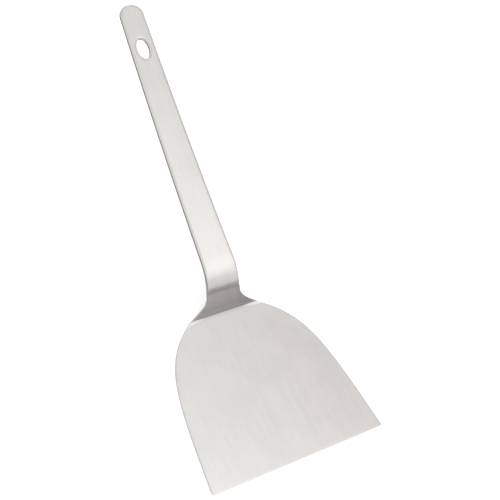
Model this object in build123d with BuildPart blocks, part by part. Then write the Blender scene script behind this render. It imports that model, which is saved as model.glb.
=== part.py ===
from build123d import *
import os
from math import cos, sin, tan, degrees, radians

# Grill spatula (wide griddle turner), all stainless steel, in three kinds of piece:
#   blade        one pressing of thin sheet: a flat fan-shaped blade whose rear is bent up at the
#                crease and necks in to a short upright tongue
#   handle       one pressing of thicker bar: its lower end is rebated so that the tongue lies in
#                it flush, then it bends back into the long grip with its hang hole
#   spot_welds   the weld nuggets that hold the tongue to the handle, inside the lap
#
# Millimetres. The origin is the centre of the blade's flat underside. +Y runs from the front edge
# towards the handle's tip, +X is to the right of a user who holds the handle, and +Z is up.

os.makedirs("parts", exist_ok=True)

# ---- Driving dimensions ----

# Blade
sheet = 1.0                   # thickness of the blade
blade_width = 130.0           # across the straight front edge
blade_length = 113.3          # from the front edge to the crease
crease_half_width = 27.0      # half the blade's width at the crease
corner_radius = 1.5           # the two front corners
bevel_length = 2.5            # the front edge is thinned from below over this length
bevel_depth = 0.4             # and by this much
blade_edge_round = 0.3        # rounding of the blade's upper edges

# Blade outline. On each side one smooth curve runs from the front corner to the crease, and
# another from the crease to the tongue's top edge. A pull is how far a curve is drawn along its
# own direction at that end before it turns away.
side_lean = 5.2               # the sides close in by this angle behind the front corners
side_pull = 70.0
shoulder_angle = 35.5         # between the outline and the crease, where the two cross
shoulder_pull = 35.4
flare_pull = 14.8
tongue_pull = 7.6

# Neck: the crease, the upright tongue and the bend above it
crease_radius = 0.5           # inside of the crease, on the upper side, in its middle stretch
crease_middle = 15.0          # half the length of that middle stretch
crease_growth = 0.3           # beyond it the inside grows by this much for each millimetre
neck_angle = 59.3             # of the neck above the blade's plane
neck_length = 18.3            # from the crease to the tongue's top edge
neck_half_width = 12.5        # at the tongue's top edge
bend_radius = 31.0            # front of the bend between the neck and the grip

# Handle
bar = 2.5                     # thickness of the handle
grip_angle = 17.6             # of the grip above the blade's plane, just after the bend
grip_length = 184.6           # along the front of the grip, from the bend to the tip
grip_curve = 2550.0           # radius of the grip's slight upward curve
tip_half_width = 8.65
tip_round = 8.0               # rounding of the tip's two corners, seen from the front
front_edge_round = 0.8
back_edge_round = 0.4

# Lap between the tongue and the handle
handle_start = 6.4            # the handle's lower end, this far up the neck from the crease
lap_gap = 0.1                 # between the tongue's top edge and the shoulder of the rebate
weld_count = 3
weld_spacing = 7.0
weld_diameter = 4.6
weld_depth = 0.6              # how far a nugget reaches into each of the two pieces
dimple_radius = 30.0          # of the electrode tip that leaves the dimples on the back
dimple_depth = 0.1

# Hang hole, an upright oval
hole_from_tip = 32.1          # its centre, measured along the grip
hole_length = 14.4
hole_width = 8.8
hole_front_round = 0.9
hole_back_round = 0.4

# Cutting bodies run past the piece they cut by this much
overrun = 4.0

# A face looks up, or down, when its normal's Z is beyond this. The neck's front is the steepest
# face that still counts, and the grip's end face, whose normal leans up a little, does not.
least_tilt = 0.45

# ---- Directions and the points where one stretch of the front surface meets the next ----


def along(angle):
    """Unit vector that climbs towards the tip at this angle above the blade's plane."""
    return Vector(0, cos(radians(angle)), sin(radians(angle)))


def outward(angle):
    """Unit vector square to along(angle), out of the front surface."""
    return Vector(0, -sin(radians(angle)), cos(radians(angle)))


def front_plane(origin, angle):
    """Plane that lies on the front surface, with its own Y axis towards the tip."""
    return Plane(origin=origin, x_dir=(1, 0, 0), z_dir=outward(angle))


# The crease is placed by the sharp corner that the flat and the neck would meet in
front = -blade_length / 2
corner = Vector(0, blade_length / 2, sheet)
neck_end = corner + along(neck_angle) * neck_length
bend_centre = neck_end - outward(neck_angle) * bend_radius
grip_start = bend_centre + outward(grip_angle) * bend_radius
grip_centre = grip_start + outward(grip_angle) * grip_curve

# Angle through which the grip curves between its start and its tip
grip_sweep = degrees(grip_length / grip_curve)
handle_foot = corner + along(neck_angle) * handle_start

# The middle of the faying surface, where the tongue's back meets the floor of the rebate
lap_middle = (handle_foot + neck_end) / 2 - outward(neck_angle) * sheet


def weld_centres():
    """Centres of the spot welds, in one row across the lap."""
    offsets = [(n - (weld_count - 1) / 2) * weld_spacing for n in range(weld_count)]
    return [lap_middle + Vector(x, 0, 0) for x in offsets]


def weld_lenses(mode):
    """Lens-shaped bodies on the faying surface, turned about the neck's own normal."""
    normal = outward(neck_angle)
    weld_radius = weld_diameter / 2
    cap_radius = (weld_radius**2 + weld_depth**2) / (2 * weld_depth)
    for centre in weld_centres():
        section = Plane(origin=centre, x_dir=(1, 0, 0), z_dir=-along(neck_angle))
        with BuildSketch(section) as lens:
            with BuildLine():
                RadiusArc((0, -weld_depth), (weld_radius, 0), -cap_radius)
                RadiusArc((weld_radius, 0), (0, weld_depth), -cap_radius)
                Line((0, weld_depth), (0, -weld_depth))
            make_face()
        revolve(lens.sketch, axis=Axis(centre, normal), mode=mode)


def upper_faces(piece):
    """The faces that look up."""
    return piece.faces().filter_by(lambda f: f.normal_at(f.center()).Z > least_tilt)


def lower_faces(piece):
    """The faces that look down."""
    return piece.faces().filter_by(lambda f: f.normal_at(f.center()).Z < -least_tilt)


def side_edges(faces):
    """The edges of these faces that run along the piece, not across it."""
    return faces.edges().filter_by(Axis.X, reverse=True)


# ---- Blade ----


def side_view(x, inside_radius):
    """Section through the blade at this x: the flat, the crease and the tongue."""
    # A bend starts this far before its sharp corner, for each millimetre of its radius
    lead = tan(radians(neck_angle / 2))
    with BuildSketch(Plane.YZ.offset(x)) as section:
        with BuildLine():
            upper = Line((front, sheet), (corner.Y - inside_radius * lead, sheet))
            inside = JernArc(upper @ 1, upper % 1, inside_radius, neck_angle)
            tongue_front = PolarLine(inside @ 1, neck_length - inside_radius * lead, neck_angle)
            lower = Line((front, 0), (corner.Y - crease_radius * lead, 0))
            outside = JernArc(lower @ 1, lower % 1, crease_radius + sheet, neck_angle)
            tongue_back = PolarLine(outside @ 1, neck_length - crease_radius * lead, neck_angle)
            Line(upper @ 0, lower @ 0)
            Line(tongue_front @ 1, tongue_back @ 1)
        make_face()
    return section.sketch


def outline_point(half_width, past_crease):
    """Point of the outline, by its distance past the crease along the sheet."""
    # The outline is drawn square to the plane that halves the crease's angle. The flat and the
    # tongue look foreshortened alike in it, so one cut through both gives the same outline on each
    return (half_width, past_crease * cos(radians(neck_angle / 2)))


def pulled(half_width, past_crease, angle, pull):
    """Outline point reached from the given one by a pull at this angle from straight sideways."""
    sideways = pull * cos(radians(angle))
    lengthways = pull * sin(radians(angle))
    return outline_point(half_width + sideways, past_crease + lengthways)


with BuildPart() as blade:
    # The crease's outside is one straight cylinder. Its inside is a cylinder in the middle stretch
    # and opens out as a cone towards the sides, so the shoulders sweep up into the neck
    widest = blade_width / 2 + sheet
    widest_radius = crease_radius + (widest - crease_middle) * crease_growth
    extrude(side_view(-crease_middle, crease_radius), amount=2 * crease_middle, dir=(1, 0, 0))
    for side in (-1, 1):
        inner = side_view(side * crease_middle, crease_radius)
        outer = side_view(side * widest, widest_radius)
        loft([inner, outer], ruled=True)

    # The front edge is thinned from below
    with BuildSketch(Plane.YZ.offset(-widest)):
        with BuildLine():
            Polyline((front, 0), (front, bevel_depth), (front + bevel_length, 0), close=True)
        make_face()
    extrude(amount=2 * widest, mode=Mode.SUBTRACT)

    # Front view: straight front edge, sides that fall in to round shoulders, and the flare that
    # carries the shoulders up into the narrow tongue
    with BuildSketch(front_plane(corner, neck_angle / 2).offset(blade_length)):
        with BuildLine():
            past_front = pulled(blade_width / 2, -blade_length, side_lean - 90, overrun)
            shoulder = Bezier(
                past_front,
                pulled(blade_width / 2, -blade_length, side_lean + 90, side_pull),
                pulled(crease_half_width, 0, -shoulder_angle, shoulder_pull),
                outline_point(crease_half_width, 0),
            )
            flare = Bezier(
                shoulder @ 1,
                pulled(crease_half_width, 0, 180 - shoulder_angle, flare_pull),
                outline_point(neck_half_width, neck_length - tongue_pull),
                outline_point(neck_half_width, neck_length),
            )
            past_top = outline_point(neck_half_width, neck_length + overrun)
            Line(flare @ 1, past_top)
            Line(past_top, (0, past_top[1]))
            Line((0, past_top[1]), (0, past_front[1]))
            Line((0, past_front[1]), past_front)
        make_face()
        mirror(about=Plane.YZ)
    extrude(amount=-2 * blade_length, mode=Mode.INTERSECT)

    # Round the two front corners, then the upper edges
    front_edge = blade.faces().sort_by(Axis.Y)[0]
    fillet(side_edges(front_edge), radius=corner_radius)
    fillet(side_edges(upper_faces(blade)), radius=blade_edge_round)

    # Half of each weld nugget sits in the back of the tongue
    weld_lenses(Mode.SUBTRACT)

blade.part.label = "blade"
export_step(blade.part, "parts/blade.step")

# ---- Handle ----

# The outline is drawn square to the grip's chord
grip_chord_angle = grip_angle + grip_sweep / 2
chord_plane = front_plane(grip_start, grip_chord_angle)
foot_level = (handle_foot - grip_start).dot(along(grip_chord_angle))
tip_level = 2 * grip_curve * sin(radians(grip_sweep / 2))

# Where the hang hole's centre meets the grip's front
hole_angle = grip_angle + grip_sweep * (1 - hole_from_tip / grip_length)
hole_centre = grip_centre - outward(hole_angle) * grip_curve


def hole_rim(height):
    """The edges round the hang hole that lie this high above the front surface."""

    def on_rim(edge):
        offset_from_centre = edge.center() - hole_centre
        level = offset_from_centre.dot(outward(hole_angle))
        return offset_from_centre.length < hole_length and abs(level - height) < bar / 2

    return handle.edges().filter_by(on_rim)


with BuildPart() as handle:
    # Side view: the neck, the bend and the slightly curved grip, one bar thick
    with BuildSketch(Plane.YZ.offset(-blade_width / 2)):
        with BuildLine():
            neck = Line((handle_foot.Y, handle_foot.Z), (neck_end.Y, neck_end.Z))
            bend = JernArc(neck @ 1, neck % 1, bend_radius, grip_angle - neck_angle)
            JernArc(bend @ 1, bend % 1, grip_curve, grip_sweep + degrees(overrun / grip_curve))
            offset(amount=bar, side=Side.RIGHT)
        make_face()
    extrude(amount=blade_width)

    # Front view: an even taper from the neck to the tip's round end
    with BuildSketch(chord_plane.offset(grip_length)) as grip_outline:
        with BuildLine():
            Polyline(
                (-neck_half_width, foot_level - overrun),
                (neck_half_width, foot_level - overrun),
                (tip_half_width, tip_level),
                (-tip_half_width, tip_level),
                close=True,
            )
        make_face()
        fillet(grip_outline.vertices().group_by(Axis.Y)[-1], radius=tip_round)
    extrude(amount=-2 * grip_length, mode=Mode.INTERSECT)

    # Round the edges: generously on the front, lightly on the back
    fillet(side_edges(upper_faces(handle)), radius=front_edge_round)
    fillet(side_edges(lower_faces(handle)), radius=back_edge_round)

    # Rebate for the tongue, as deep as the sheet, so that the two fronts are flush
    rebate_top = neck_end + along(neck_angle) * lap_gap
    with BuildSketch(front_plane(rebate_top, neck_angle)):
        rebate_width = 2 * (neck_half_width + overrun)
        Rectangle(rebate_width, neck_length + overrun, align=(Align.CENTER, Align.MAX))
    extrude(amount=-sheet, mode=Mode.SUBTRACT)

    # Hang hole with rounded rims
    with BuildSketch(front_plane(hole_centre, hole_angle).offset(overrun)):
        Ellipse(hole_width / 2, hole_length / 2)
    extrude(amount=-bar - 2 * overrun, mode=Mode.SUBTRACT)
    fillet(hole_rim(0), radius=hole_front_round)
    fillet(hole_rim(-bar), radius=hole_back_round)

    # The other half of each weld nugget, and the dimples that the electrodes leave on the back
    weld_lenses(Mode.SUBTRACT)
    back_of_lap = -outward(neck_angle) * (bar - sheet + dimple_radius - dimple_depth)
    with Locations([centre + back_of_lap for centre in weld_centres()]):
        Sphere(dimple_radius, mode=Mode.SUBTRACT)

handle.part.label = "handle"
export_step(handle.part, "parts/handle.step")

# ---- Spot welds ----

with BuildPart() as spot_welds:
    weld_lenses(Mode.ADD)

spot_welds.part.label = "spot_welds"
export_step(spot_welds.part, "parts/spot_welds.step")
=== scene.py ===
import bpy
from math import radians
from mathutils import Euler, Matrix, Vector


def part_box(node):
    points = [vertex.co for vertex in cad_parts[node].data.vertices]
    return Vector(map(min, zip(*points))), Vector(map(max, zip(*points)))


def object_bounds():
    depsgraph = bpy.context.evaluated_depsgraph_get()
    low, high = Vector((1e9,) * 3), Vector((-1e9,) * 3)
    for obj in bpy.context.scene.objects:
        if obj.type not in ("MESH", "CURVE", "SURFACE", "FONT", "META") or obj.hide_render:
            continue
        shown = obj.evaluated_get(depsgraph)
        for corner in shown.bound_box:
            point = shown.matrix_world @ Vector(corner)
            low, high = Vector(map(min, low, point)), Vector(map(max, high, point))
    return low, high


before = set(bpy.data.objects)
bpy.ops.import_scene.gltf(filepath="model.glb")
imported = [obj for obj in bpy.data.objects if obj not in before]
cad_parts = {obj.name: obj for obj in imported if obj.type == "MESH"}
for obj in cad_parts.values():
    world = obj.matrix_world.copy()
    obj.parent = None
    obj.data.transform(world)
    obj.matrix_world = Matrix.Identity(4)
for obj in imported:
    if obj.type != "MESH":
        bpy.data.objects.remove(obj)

# Grill spatula in a pale studio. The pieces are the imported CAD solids. This script gives them brushed
# steel and adds the floor, the softbox, the room and the camera. Everything is in metres, with +Y from
# the blade's front edge towards the handle's tip, +X to the right and +Z up.

cad_low, cad_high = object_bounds()
scene = bpy.context.scene

# ---------------------------------------------------------------- node helpers

# Sockets of the Mix node: first input, second input and output
COLOUR_SOCKETS = (6, 7, 2)
VECTOR_SOCKETS = (4, 5, 1)


class Tree:
    """Short names for adding and joining shader nodes."""

    def __init__(self, tree):
        self.tree = tree

    def put(self, node, key, value):
        """Sets an input to a value, or joins it to another node's output."""
        if isinstance(value, bpy.types.NodeSocket):
            self.tree.links.new(value, node.inputs[key])
        else:
            node.inputs[key].default_value = value

    def add(self, kind, inputs=None, **settings):
        node = self.tree.nodes.new(kind)
        for key, value in settings.items():
            setattr(node, key, value)
        for key, value in (inputs or {}).items():
            self.put(node, key, value)
        return node

    def math(self, operation, *values):
        node = self.add("ShaderNodeMath", dict(enumerate(values)), operation=operation)
        return node.outputs[0]

    def times(self, vector, factor):
        """A vector or colour times a number, or times another vector."""
        node = self.add("ShaderNodeVectorMath", {0: vector, 1: factor}, operation="MULTIPLY")
        return node.outputs[0]

    def dot(self, a, b):
        node = self.add("ShaderNodeVectorMath", {0: a, 1: b}, operation="DOT_PRODUCT")
        return node.outputs["Value"]

    def part(self, vector, axis):
        """One coordinate of a vector."""
        return self.add("ShaderNodeSeparateXYZ", {0: vector}).outputs[axis]

    def place(self):
        """Position of the shaded point."""
        return self.add("ShaderNodeTexCoord").outputs["Object"]

    def mix(self, factor, a, b, kind="RGBA", sockets=COLOUR_SOCKETS):
        """From a to b as the factor goes from 0 to 1."""
        node = self.add("ShaderNodeMix", {"Factor": factor}, data_type=kind)
        first, second, result = sockets
        self.put(node, first, a)
        self.put(node, second, b)
        return node.outputs[result]

    def ramp(self, value, stops):
        """Colour ramp from (position, grey or colour) pairs."""
        node = self.add("ShaderNodeValToRGB", {"Fac": value})
        elements = node.color_ramp.elements
        while len(elements) < len(stops):
            elements.new(0.5)
        for element, (position, colour) in zip(elements, stops):
            element.position = position
            if isinstance(colour, (int, float)):
                colour = (colour, colour, colour)
            element.color = (*colour, 1)
        return node.outputs["Color"]

    def remap(self, value, reach, result, smooth=False):
        """The value's (low, high) reach carried to the result's, and held beyond its ends."""
        node = self.add("ShaderNodeMapRange", {"Value": value}, clamp=True)
        if smooth:
            node.interpolation_type = "SMOOTHSTEP"
        for name, (low, high) in (("From", reach), ("To", result)):
            self.put(node, name + " Min", low)
            self.put(node, name + " Max", high)
        return node.outputs["Result"]

    def noise(self, vector, scale, detail, roughness=0.5):
        inputs = {"Vector": vector, "Scale": scale, "Detail": detail, "Roughness": roughness}
        return self.add("ShaderNodeTexNoise", inputs).outputs["Fac"]


def new_material(name):
    """A material, its tree and its shader."""
    material = bpy.data.materials.new(name)
    material.use_nodes = True
    return material, Tree(material.node_tree), material.node_tree.nodes["Principled BSDF"]


# ---------------------------------------------------------------- steel

# Places on the tool, from the blade's box. The origin is halfway between the front edge and the
# crease, where the blade turns up into the neck. The tongue leans back, so at its top edge, where
# the handle's own front begins, its front lies a little before the end of the box
blade_low, blade_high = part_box("blade")
CREASE_Y = -blade_low[1]
TONGUE_TOP_Z = blade_high[2]
TONGUE_LEAN = 0.00086
LAP_Y = blade_high[1] - TONGUE_LEAN

# Colours of the polished faces, and the painted shade of the sheared sides
BLADE_STEEL = (0.715, 0.694, 0.685)
BAR_STEEL = (0.65, 0.63, 0.62)
SIDE_SHADE_STEEL = (0.52, 0.50, 0.49, 1)

# Brushed grain. Each kind of streak: its changes per metre across and along the piece, the detail
# of its noise, and its share of the grain
STREAKS = ((7000, 60, 3.0, 0.5), (1500, 18, 3.0, 0.35), (260, 6, 2.0, 0.15))
STREAK_ROUGHNESS = 0.6
GRAIN_HEIGHT = 0.00003
NOISE_REACH = (0.3, 0.7)               # noise values between which the surface changes
GRAIN_TONES = (0.93, 1.065)            # of the steel's colour
GRAIN_GLOSS = (-0.05, 0.06)            # added to the steel's roughness
CLOUD_SCALE, CLOUD_DETAIL, CLOUD_ROUGHNESS = 45, 3.0, 0.55
CLOUD_TONES = (0.965, 1.02)
CLOUD_GLOSS = (-0.02, 0.03)

# Edges, where the rolled-off normal leaves the face's own: a painted highlight there, and a smoother
# finish
BLADE_FADE = (CREASE_Y - 0.012, CREASE_Y - 0.006)
HANDLE_FADE = (LAP_Y + 0.003, LAP_Y + 0.010)
EDGE_AGREEMENT = (0.75, 0.995)
EDGE_HIGHLIGHT = 0.2
EDGE_GLOSS = 0.05

# Sheared sides, by how far a face looks sideways: painted shade on the sides, a painted highlight on
# the rounding before them
ROUND_HIGHLIGHT_IN, ROUND_HIGHLIGHT_OUT = (0.25, 0.45), (0.8, 0.95)
ROUND_HIGHLIGHT_TONE = 0.35
SHADED_CUT_REACH = (0.75, 0.95)
SHEARED_GLOSS = 0.15

# Neck, in metres of height or of distance from the crease: its roughness, and painted shade
CREASE_REACH, CREASE_GLOSS = (0.001, 0.004), 0.08
CREASE_SHADE_REACH, CREASE_SHADE_TONE = (0.0004, 0.0012), 0.82
NECK_SHADE_START, NECK_SHADE_DARKEST = (0.0014, 0.0022), 0.69
NECK_SHADE_END, NECK_SHADE_LIFT = (0.006, 0.0148), 0.31
RIGHT_REACH, RIGHT_START, RIGHT_SHADE = (-0.004, 0.012), (0.0014, 0.0030), 0.11
SEAM_TINT_AND_SHADE_REACH, SEAM_TINT_AND_SHADE_TONE = (TONGUE_TOP_Z - 0.0022, TONGUE_TOP_Z - 0.0004), 0.97
TOP_EDGE_Z, TOP_EDGE_TILT, TOP_EDGE_SHADE = TONGUE_TOP_Z - 0.0012, 0.7, 0.8
STRAY_AGREEMENT = (0.95, 0.99)


def brushed_grain(t, place):
    """Streaks of three widths that run along the piece, added up."""
    grain = 0.0
    for across, along, detail, share in STREAKS:
        stretched = t.times(place, (across, along, along))
        streak = t.noise(stretched, 1.0, detail, STREAK_ROUGHNESS)
        grain = t.math("ADD", grain, t.math("MULTIPLY", streak, share))
    return grain


def shaded_sheared_sides(t, normal, tone, rough):
    """Painted shade: sides that face across the piece are darker, and rougher as sheared steel. Painted
    highlight: the rounding before them is brighter.
    """
    sideways = t.math("ABSOLUTE", t.part(normal, "X"))
    round_highlight = t.remap(sideways, ROUND_HIGHLIGHT_IN, (0.0, ROUND_HIGHLIGHT_TONE))
    round_highlight = t.math("MULTIPLY", round_highlight, t.remap(sideways, ROUND_HIGHLIGHT_OUT, (1.0, 0.0)))
    tone = t.times(tone, t.math("ADD", round_highlight, 1.0))
    shaded_cut = t.remap(sideways, SHADED_CUT_REACH, (0.0, 1.0), smooth=True)
    tone = t.mix(shaded_cut, tone, SIDE_SHADE_STEEL)
    return tone, t.math("ADD", rough, t.math("MULTIPLY", shaded_cut, SHEARED_GLOSS))


def shaded_bent_neck(t, place, normal, tone, rough):
    """The blade's neck: rougher at the crease, with painted shade above it and along it, and a dark
    seam at the tongue's top.
    """
    from_crease = t.math("ABSOLUTE", t.math("SUBTRACT", t.part(place, "Y"), CREASE_Y))
    height = t.part(place, "Z")
    satin = t.remap(from_crease, CREASE_REACH, (CREASE_GLOSS, 0.0), smooth=True)
    rough = t.math("ADD", rough, satin)

    # Painted shade: darkest just above the crease, and lighter again towards the tongue's top
    neck_shade = t.remap(height, NECK_SHADE_START, (1.0, NECK_SHADE_DARKEST), smooth=True)
    neck_shade = t.math("ADD", neck_shade, t.remap(height, NECK_SHADE_END, (0.0, NECK_SHADE_LIFT)))

    # Painted shade: the right half of the neck is a little darker
    right = t.remap(t.part(place, "X"), RIGHT_REACH, (0.0, RIGHT_SHADE))
    right = t.math("MULTIPLY", right, t.remap(height, RIGHT_START, (0.0, 1.0)))
    neck_shade = t.math("MULTIPLY", neck_shade, t.math("SUBTRACT", 1.0, right))

    # Painted shade along the crease itself, which dims its highlight
    crease_shade = t.remap(from_crease, CREASE_SHADE_REACH, (CREASE_SHADE_TONE, 1.0), smooth=True)
    neck_shade = t.math("MULTIPLY", neck_shade, crease_shade)

    # The seam: the front darkens just below the tongue's top edge, partly heat tint and partly painted
    # shade, and that edge, in the narrow gap at the handle, gets painted shade
    seam = t.remap(height, SEAM_TINT_AND_SHADE_REACH, (1.0, SEAM_TINT_AND_SHADE_TONE), smooth=True)
    faces_up = t.math("GREATER_THAN", t.part(normal, "Z"), TOP_EDGE_TILT)
    at_top = t.math("GREATER_THAN", height, TOP_EDGE_Z)
    shade = t.math("MULTIPLY", t.math("MULTIPLY", faces_up, at_top), TOP_EDGE_SHADE)
    seam = t.math("MULTIPLY", seam, t.math("SUBTRACT", 1.0, shade))
    return t.times(tone, t.math("MULTIPLY", seam, neck_shade)), rough


def steadied_normal(t, geometry, place, soft_normal):
    """A few slivers at the crease's ends have a stray smoothed normal, and take the flat one."""
    flat_normal = geometry["True Normal"]
    agreement = t.dot(flat_normal, geometry["Normal"])
    behind_blade = t.math("GREATER_THAN", t.part(place, "Y"), BLADE_FADE[1])
    stray = t.math("MULTIPLY", t.remap(agreement, STRAY_AGREEMENT, (1.0, 0.0)), behind_blade)
    return t.mix(stray, soft_normal, flat_normal, "VECTOR", VECTOR_SOCKETS)


def brushed_steel(name, base, roughness, grain_strength, roll_off, neck=False, sides=True):
    """Satin steel, brushed lengthwise, whose edges roll off over the given width."""
    material, t, bsdf = new_material(name)
    place = t.place()
    grain = brushed_grain(t, place)
    clouds = t.noise(place, CLOUD_SCALE, CLOUD_DETAIL, CLOUD_ROUGHNESS)

    # The roll-off fades out before the crease and the lap, which have to stay crisp
    back = t.part(place, "Y")
    if neck:
        width = t.remap(back, BLADE_FADE, (roll_off, 0.0))
    else:
        width = t.remap(back, HANDLE_FADE, (0.0, roll_off))

    # Edges get a painted highlight, and are polished smoother
    geometry = t.add("ShaderNodeNewGeometry").outputs
    normal = geometry["Normal"]
    soft_normal = t.add("ShaderNodeBevel", {"Radius": width}, samples=8).outputs[0]
    edge = t.remap(t.dot(soft_normal, normal), EDGE_AGREEMENT, (1.0, 0.0), smooth=True)

    tones = [tuple(channel * share for channel in base) for share in GRAIN_TONES]
    tone = t.ramp(grain, list(zip(NOISE_REACH, tones)))
    tone = t.times(tone, t.remap(clouds, NOISE_REACH, CLOUD_TONES))
    tone = t.times(tone, t.math("MULTIPLY_ADD", edge, EDGE_HIGHLIGHT, 1.0))

    rough = t.remap(grain, NOISE_REACH, [roughness + step for step in GRAIN_GLOSS])
    rough = t.math("ADD", rough, t.remap(clouds, NOISE_REACH, CLOUD_GLOSS))
    rough = t.math("SUBTRACT", rough, t.math("MULTIPLY", edge, EDGE_GLOSS))

    if sides:
        tone, rough = shaded_sheared_sides(t, normal, tone, rough)
    if neck:
        tone, rough = shaded_bent_neck(t, place, normal, tone, rough)
        soft_normal = steadied_normal(t, geometry, place, soft_normal)

    bump = {"Strength": grain_strength, "Distance": GRAIN_HEIGHT, "Height": grain}
    bump["Normal"] = soft_normal
    t.put(bsdf, "Base Color", tone)
    t.put(bsdf, "Metallic", 1.0)
    t.put(bsdf, "Roughness", rough)
    t.put(bsdf, "Normal", t.add("ShaderNodeBump", bump).outputs[0])
    return material


materials = {
    "blade": brushed_steel("blade_steel", BLADE_STEEL, 0.18, 0.16, 0.0010, neck=True),
    "handle": brushed_steel("handle_steel", BAR_STEEL, 0.18, 0.22, 0.0028),
    "spot_welds": brushed_steel("weld_steel", BAR_STEEL, 0.5, 0.4, 0.0002, sides=False),
}
for name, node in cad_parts.items():
    node.data.materials.clear()
    node.data.materials.append(materials[name])

# ---------------------------------------------------------------- floor


def level_square(name, low, high, height, material):
    """A level square of the studio, from low to high along both X and Y."""
    corners = [(low, low, height), (high, low, height), (high, high, height), (low, high, height)]
    mesh = bpy.data.meshes.new(name)
    mesh.from_pydata(corners, [], [(0, 1, 2, 3)])
    mesh.materials.append(material)
    square = bpy.data.objects.new(name, mesh)
    scene.collection.objects.link(square)
    return square


HALF_FLOOR = 2.0
FLOOR_GAP = 0.0001                     # between the floor and the tool's lowest point
PAPER_SCALE, PAPER_DETAIL = 400, 4.0
PAPER_TONES = (0.93, 0.96)
PAPER_ROUGHNESS, PAPER_SHINE = 0.75, 0.2
PAPER_GLOW = 0.25                      # own light, which keeps the paper pale under the tool
CAMERA_GLOW = 0.2                      # and what the camera sees on top of it
GLOW_TINT = (1, 0.99, 0.98, 1)
MIRRORED_REACH = (0.002, 0.03)         # reflections of the paper fade out over this distance
DUSK = (0.41, 0.58)                    # the dark that follows, at a grazing and at a steep angle
DUSK_STEEP = 0.8
DUSK_TINT = (1, 0.97, 0.96, 1)


def pale_paper():
    """Pale paper. The steel mirrors only the paper close to it, and beyond that a dark room."""
    material, t, bsdf = new_material("pale_floor")
    fibres = t.noise(t.place(), PAPER_SCALE, PAPER_DETAIL)
    path = t.add("ShaderNodeLightPath").outputs
    glow = t.math("MULTIPLY_ADD", path["Is Camera Ray"], CAMERA_GLOW, PAPER_GLOW)
    t.put(bsdf, "Base Color", t.ramp(fibres, list(zip(NOISE_REACH, PAPER_TONES))))
    t.put(bsdf, "Roughness", PAPER_ROUGHNESS)
    t.put(bsdf, "Specular IOR Level", PAPER_SHINE)
    t.put(bsdf, "Emission Color", GLOW_TINT)
    t.put(bsdf, "Emission Strength", glow)

    geometry = t.add("ShaderNodeNewGeometry").outputs
    dusk = t.remap(t.part(geometry["Incoming"], "Z"), (0.0, DUSK_STEEP), DUSK)
    dark = t.add("ShaderNodeEmission", {"Color": DUSK_TINT, "Strength": dusk})
    far = t.remap(path["Ray Length"], MIRRORED_REACH, (0.0, 1.0), smooth=True)
    mirrored = t.math("MULTIPLY", far, path["Is Glossy Ray"])
    paper = t.add("ShaderNodeMixShader", {0: mirrored, 1: bsdf.outputs[0], 2: dark.outputs[0]})

    # From below the paper is clear, so that the tool's underside can be seen
    clear = t.add("ShaderNodeBsdfTransparent")
    faces = {0: geometry["Backfacing"], 1: paper.outputs[0], 2: clear.outputs[0]}
    one_sided = t.add("ShaderNodeMixShader", faces)
    t.put(material.node_tree.nodes["Material Output"], "Surface", one_sided.outputs[0])
    return material


level_square("floor", -HALF_FLOOR, HALF_FLOOR, cad_low[2] - FLOOR_GAP, pale_paper())

# ---------------------------------------------------------------- softbox

SOFT_HEIGHT = 0.8
SOFT_LOW, SOFT_HIGH = -0.45, 1.3
SOFT_LEAST, SOFT_MOST = 0.8, 1.46

# Its light, with x across and y back: CENTRE + ACROSS x + BACK y + CROSS x y + BACK_BEND y y. Beyond
# LEVEL_BACK, y stops growing
CENTRE, ACROSS, BACK, CROSS, BACK_BEND = 1.698, -1.064, -2.379, 1.276, 2.778
LEVEL_BACK = 0.4

# Dimmer above the tool and to its left, so that from above the blade stands out from the paper
OVERHEAD_REACH, OVERHEAD_TONE = (-0.02, 0.19), 0.58

# A small flag dims what the blade's front right corner mirrors
FLAG_BACK, FLAG_REACH, FLAG_ACROSS, FLAG_SHADE = 0.1, (0.02, 0.12), (0.42, 0.54), 0.08

TINT_REACH = (0.24, 0.46)
LEFT_TINT = (0.975, 0.995, 0.985, 1)
RIGHT_TINT = (1, 0.99, 0.975, 1)


def softbox_light():
    """Light that fades evenly to the back right, and is dimmer above the tool."""
    material = bpy.data.materials.new("softbox")
    material.use_nodes = True
    material.node_tree.nodes.clear()
    t = Tree(material.node_tree)
    place = t.place()
    across = t.part(place, "X")
    back = t.part(place, "Y")

    level_back = t.math("MINIMUM", back, LEVEL_BACK)
    slope = t.math("MULTIPLY_ADD", level_back, BACK_BEND, BACK)
    slope = t.math("MULTIPLY_ADD", across, CROSS, slope)
    glow = t.math("MULTIPLY_ADD", slope, level_back, CENTRE)
    glow = t.math("MULTIPLY_ADD", across, ACROSS, glow)
    glow = t.math("MINIMUM", t.math("MAXIMUM", glow, SOFT_LEAST), SOFT_MOST)

    overhead = t.remap(across, OVERHEAD_REACH, (OVERHEAD_TONE, 1.0), smooth=True)
    glow = t.math("MULTIPLY", glow, overhead)

    from_flag = t.math("ABSOLUTE", t.math("SUBTRACT", back, FLAG_BACK))
    flag = t.remap(from_flag, FLAG_REACH, (FLAG_SHADE, 0.0))
    flag = t.math("MULTIPLY", flag, t.remap(across, FLAG_ACROSS, (0.0, 1.0)))
    glow = t.math("MULTIPLY", glow, t.math("SUBTRACT", 1.0, flag))

    tint = t.mix(t.remap(across, TINT_REACH, (0.0, 1.0)), LEFT_TINT, RIGHT_TINT)
    emission = t.add("ShaderNodeEmission", {"Color": tint, "Strength": glow})
    t.add("ShaderNodeOutputMaterial", {"Surface": emission.outputs[0]})
    return material


softbox = level_square("softbox", SOFT_LOW, SOFT_HIGH, SOFT_HEIGHT, softbox_light())
softbox.visible_camera = False

# ---------------------------------------------------------------- room

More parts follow.
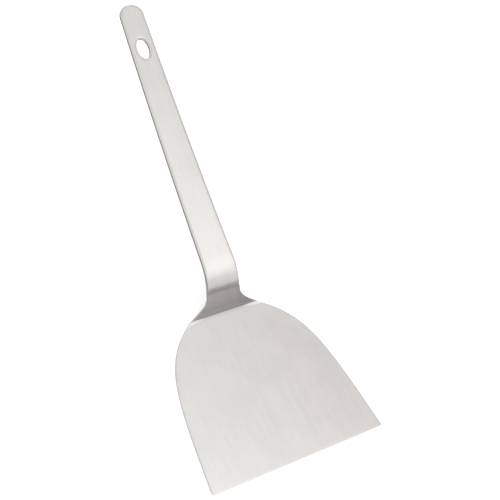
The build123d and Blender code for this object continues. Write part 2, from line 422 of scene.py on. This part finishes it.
# Pale walls above a darker horizon: brightness by the height of the direction, a unit vector's Z.
# The steel that the camera sees mirrors the walls on the right, which are the brighter ones
RIGHT_WALLS = (
    (-0.2, 0.3), (-0.08, 0.38), (0.045, 0.38), (0.13, 0.86), (0.28, 0.98),
    (0.47, 1.05), (0.65, 1.34), (0.77, 1.46), (1.0, 1.47),
)
LEFT_WALLS = ((-0.2, 0.22), (0.0, 0.32), (0.3, 0.5), (0.6, 0.85), (1.0, 1.45))
LOWEST, HIGHEST = -0.2, 1.0
BRIGHTEST = 1.5
TO_RIGHT = (0.98, -0.2, 0.0)           # towards the middle of the right walls
WALL_CHANGE = (-0.25, 0.1)             # where the left walls turn into the right ones
CAMERA_WHITE = (0.7, 0.7, 0.7, 1)


def studio_room():
    """The world: the walls for the steel to mirror, and plain white for the camera."""
    world = bpy.data.worlds.new("studio")
    world.use_nodes = True
    t = Tree(world.node_tree)
    direction = t.add("ShaderNodeTexCoord").outputs["Generated"]
    level = t.remap(t.part(direction, "Z"), (LOWEST, HIGHEST), (0.0, 1.0))

    def walls(stops):
        rise = HIGHEST - LOWEST
        return t.ramp(level, [((z - LOWEST) / rise, light / BRIGHTEST) for z, light in stops])

    on_right = t.remap(t.dot(direction, TO_RIGHT), WALL_CHANGE, (0.0, 1.0), smooth=True)
    room = t.mix(on_right, walls(LEFT_WALLS), walls(RIGHT_WALLS))
    to_camera = t.add("ShaderNodeLightPath").outputs["Is Camera Ray"]
    background = world.node_tree.nodes["Background"]
    t.put(background, "Color", t.mix(to_camera, room, CAMERA_WHITE))
    t.put(background, "Strength", BRIGHTEST)
    return world


scene.world = studio_room()

# ---------------------------------------------------------------- camera

# High above the tool's front left, with a long lens and a slight roll
CAMERA_PLACE = (-0.2927, -0.1904, 0.6081)
CAMERA_TURN = (32.967, -15.108, -27.475)   # degrees about X, Y and Z
LENS, SENSOR = 75.53, 36                   # millimetres

camera_data = bpy.data.cameras.new("camera")
camera_data.lens = LENS
camera_data.sensor_width = SENSOR
camera = bpy.data.objects.new("camera", camera_data)
camera.location = CAMERA_PLACE
camera.rotation_euler = Euler([radians(angle) for angle in CAMERA_TURN])
scene.collection.objects.link(camera)
scene.camera = camera
scene.view_settings.view_transform = "Standard"
